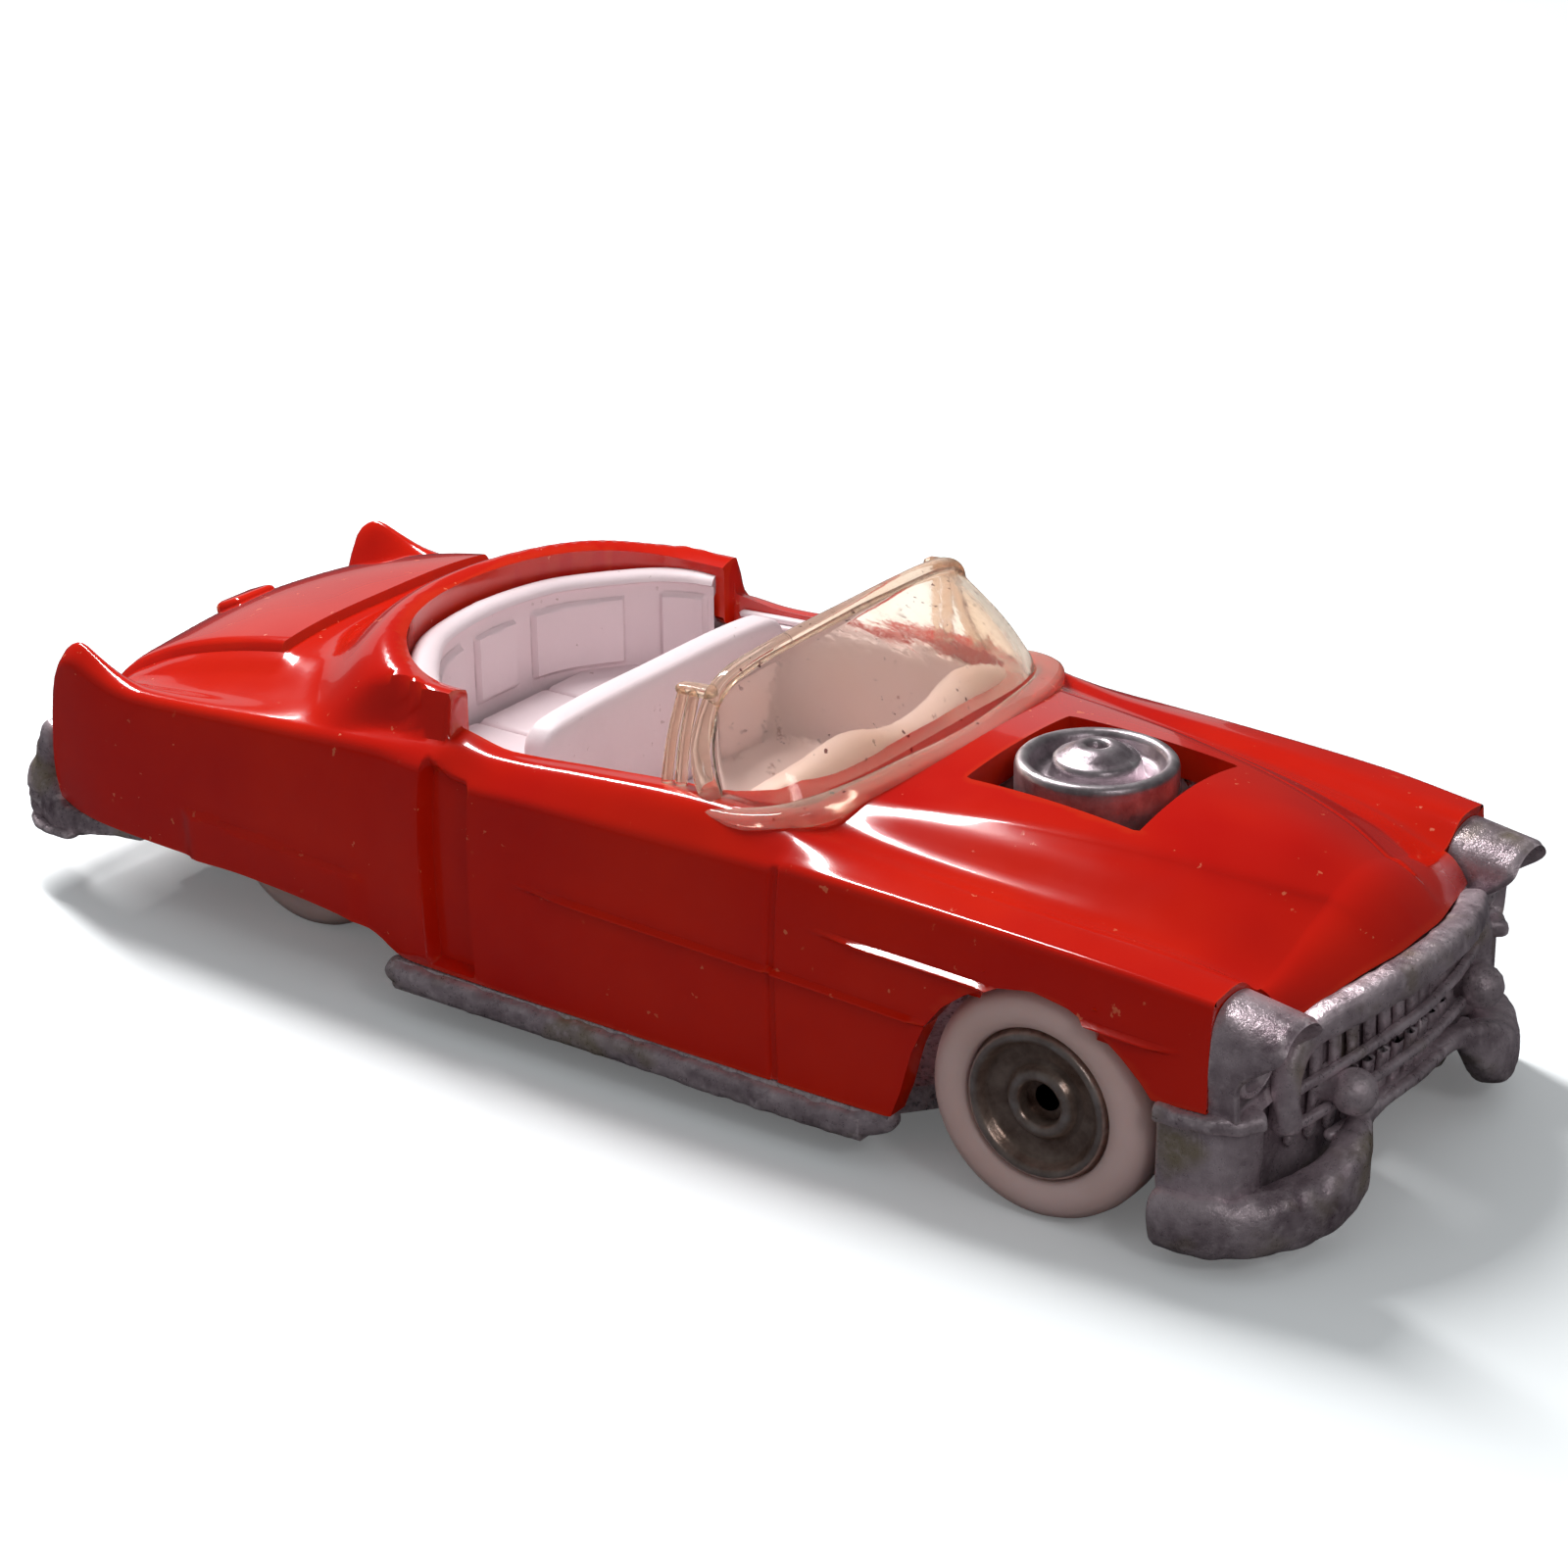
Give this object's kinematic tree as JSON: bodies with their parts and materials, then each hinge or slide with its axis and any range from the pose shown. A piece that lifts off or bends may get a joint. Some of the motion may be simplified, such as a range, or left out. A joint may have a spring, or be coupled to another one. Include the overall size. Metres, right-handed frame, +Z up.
{
  "type": "toy car",
  "caption": "Open-top toy saloon car with a glossy red body on a cast metal base; free-rolling wheels spin a friction flywheel under the bonnet.",
  "frame": {"origin": "on the floor under the middle of the car's length and width", "axes": "+X to the front of the car, +Y to its left, +Z up"},
  "size_m": [0.0728, 0.0264, 0.0203],
  "materials": {
    "red_plastic": "glossy, moulded",
    "clear_plastic": "clear, yellowed with age",
    "white_plastic": "off-white, low gloss",
    "zinc": "bare die-cast zinc, grey",
    "rivet_steel": "plain",
    "frame_steel": "stamped sheet",
    "flywheel_steel": "turned",
    "axle_steel": "drawn wire",
    "brass": "cut, bright",
    "hub_metal": "spun, plain",
    "white_vinyl": "translucent off-white vinyl"
  },
  "bodies": {
    "car": {"body_shell": "red_plastic", "windshield": "clear_plastic", "interior_tub": "white_plastic", "chassis_base": "zinc", "front_bumper": "zinc", "rear_bumper": "zinc", "rivet_front": "rivet_steel", "rivet_rear": "rivet_steel", "motor_rivet_left": "rivet_steel", "motor_rivet_right": "rivet_steel", "motor_frame": "frame_steel", "spindle_bush": "brass"},
    "front_axle_set": {"front_axle": "axle_steel", "axle_gear": "brass", "hub_front_left": "hub_metal", "tyre_front_left": "white_vinyl", "hub_front_right": "hub_metal", "tyre_front_right": "white_vinyl"},
    "rear_axle_set": {"rear_axle": "axle_steel", "hub_rear_left": "hub_metal", "tyre_rear_left": "white_vinyl", "hub_rear_right": "hub_metal", "tyre_rear_right": "white_vinyl"},
    "cross_shaft_set": {"cross_shaft": "axle_steel", "cross_pinion": "brass", "crown_gear": "brass"},
    "flywheel_set": {"flywheel": "flywheel_steel", "flywheel_spindle": "axle_steel", "spindle_pinion": "brass"}
  },
  "joints": [
    {"name": "front_axle_spin", "type": "hinge", "parent": "car", "child": "front_axle_set", "pos_m": [0.0238, 0, 0.0053], "axis": [0, 1, 0], "continuous": true},
    {"name": "rear_axle_spin", "type": "hinge", "parent": "car", "child": "rear_axle_set", "pos_m": [-0.0205, 0, 0.0053], "axis": [0, 1, 0], "continuous": true},
    {"name": "cross_shaft_spin", "type": "hinge", "parent": "car", "child": "cross_shaft_set", "pos_m": [0.0191, 0, 0.00654], "axis": [0, 1, 0], "continuous": true},
    {"name": "flywheel_spin", "type": "hinge", "parent": "car", "child": "flywheel_set", "pos_m": [0.0191, 0, 0.013], "axis": [0, 0, 1], "continuous": true}
  ],
  "couplings": [
    {"joint": "cross_shaft_spin", "follows": "flywheel_spin", "ratio": -0.33333},
    {"joint": "front_axle_spin", "follows": "flywheel_spin", "ratio": 0.16667}
  ]
}
